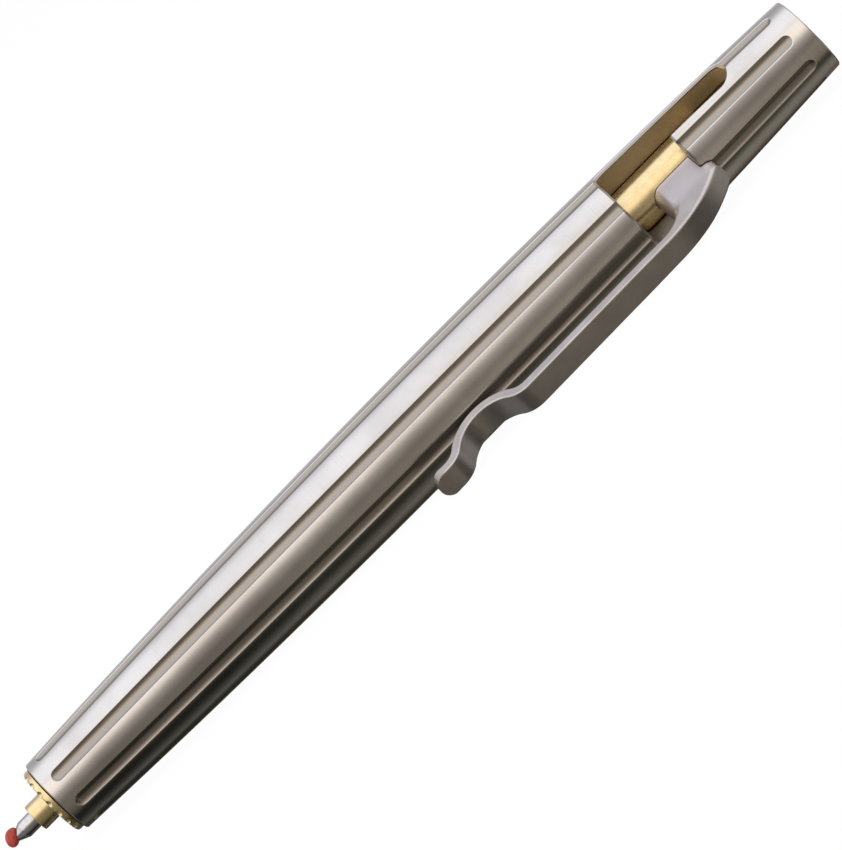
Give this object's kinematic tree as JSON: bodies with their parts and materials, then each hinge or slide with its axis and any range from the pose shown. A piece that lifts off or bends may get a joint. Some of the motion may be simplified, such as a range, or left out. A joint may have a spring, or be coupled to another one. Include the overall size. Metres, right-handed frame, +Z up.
{
  "type": "bolt action pen",
  "caption": "Barrel-shaped fluted metal ballpoint pen whose pocket clip is the handle of a side bolt that works a spring-loaded refill.",
  "frame": {"origin": "centre of the bounding box on the plane that the pen lies on", "axes": "+X along the pen axis from the writing tip to the closed rear end, +Z up from the resting plane, the clip drooping towards -Y"},
  "size_m": [0.1426, 0.0196, 0.014],
  "materials": {
    "satin_titanium": "turned and lightly blasted satin",
    "blasted_titanium": "bead blasted matte",
    "brass": "turned satin",
    "black_rubber": "matte",
    "spring_steel": "bright drawn wire",
    "refill_steel": "polished",
    "ball_carbide": "polished",
    "refill_plastic": "moulded",
    "seal_wax": "glossy waxy drop",
    "black_oxide_steel": "black oxide"
  },
  "bodies": {
    "barrel": {"barrel": "satin_titanium", "nose_cap": "brass", "nose_seal_ring": "black_rubber", "refill_spring": "spring_steel"},
    "refill": {"refill_tube": "refill_steel", "refill_tip": "refill_steel", "refill_ball": "ball_carbide", "refill_plug": "refill_plastic", "tip_seal": "seal_wax"},
    "bolt": {"plunger": "brass", "clip": "blasted_titanium", "tang_screw": "black_oxide_steel"}
  },
  "joints": [
    {"name": "bolt_push", "type": "slide", "parent": "barrel", "child": "refill", "axis": [-1, 0, 0], "range_m": [0, 0.0033], "stiffness_N_per_m": 300, "springref_m": -0.005, "deforming": ["refill_spring"]},
    {"name": "bolt_turn", "type": "hinge", "parent": "refill", "child": "bolt", "pos_m": [0.04618, 0.00278, 0.007], "axis": [-1, 0, 0], "range_deg": [0, 90]}
  ]
}
